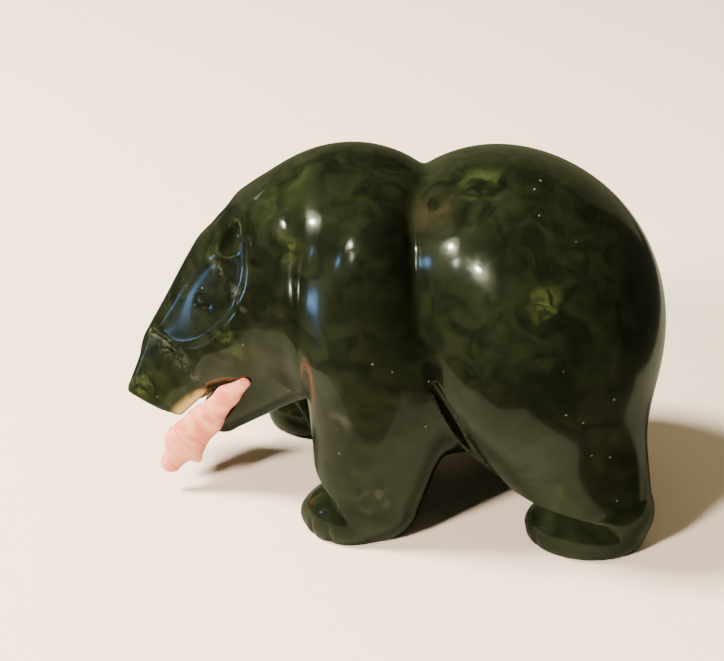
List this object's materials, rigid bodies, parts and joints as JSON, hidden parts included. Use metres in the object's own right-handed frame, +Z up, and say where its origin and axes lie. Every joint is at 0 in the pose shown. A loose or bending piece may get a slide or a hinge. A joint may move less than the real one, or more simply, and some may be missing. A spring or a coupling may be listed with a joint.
{
  "type": "jade bear carving",
  "caption": "Small polished green jade bear walking with its head down, holding a pink stone fish crosswise in its mouth.",
  "frame": {"origin": "on the ground plane under the middle of the carving's bounding box", "axes": "+Z up, the bear's nose points along -X, its left side is at -Y"},
  "size_m": [0.065, 0.0335, 0.0456],
  "materials": {
    "jade": "polished dark green nephrite with lighter mossy spots",
    "pink_stone": "satin pink stone, slightly translucent"
  },
  "bodies": {
    "root": {"bear": "jade", "fish": "pink_stone"}
  },
  "joints": []
}
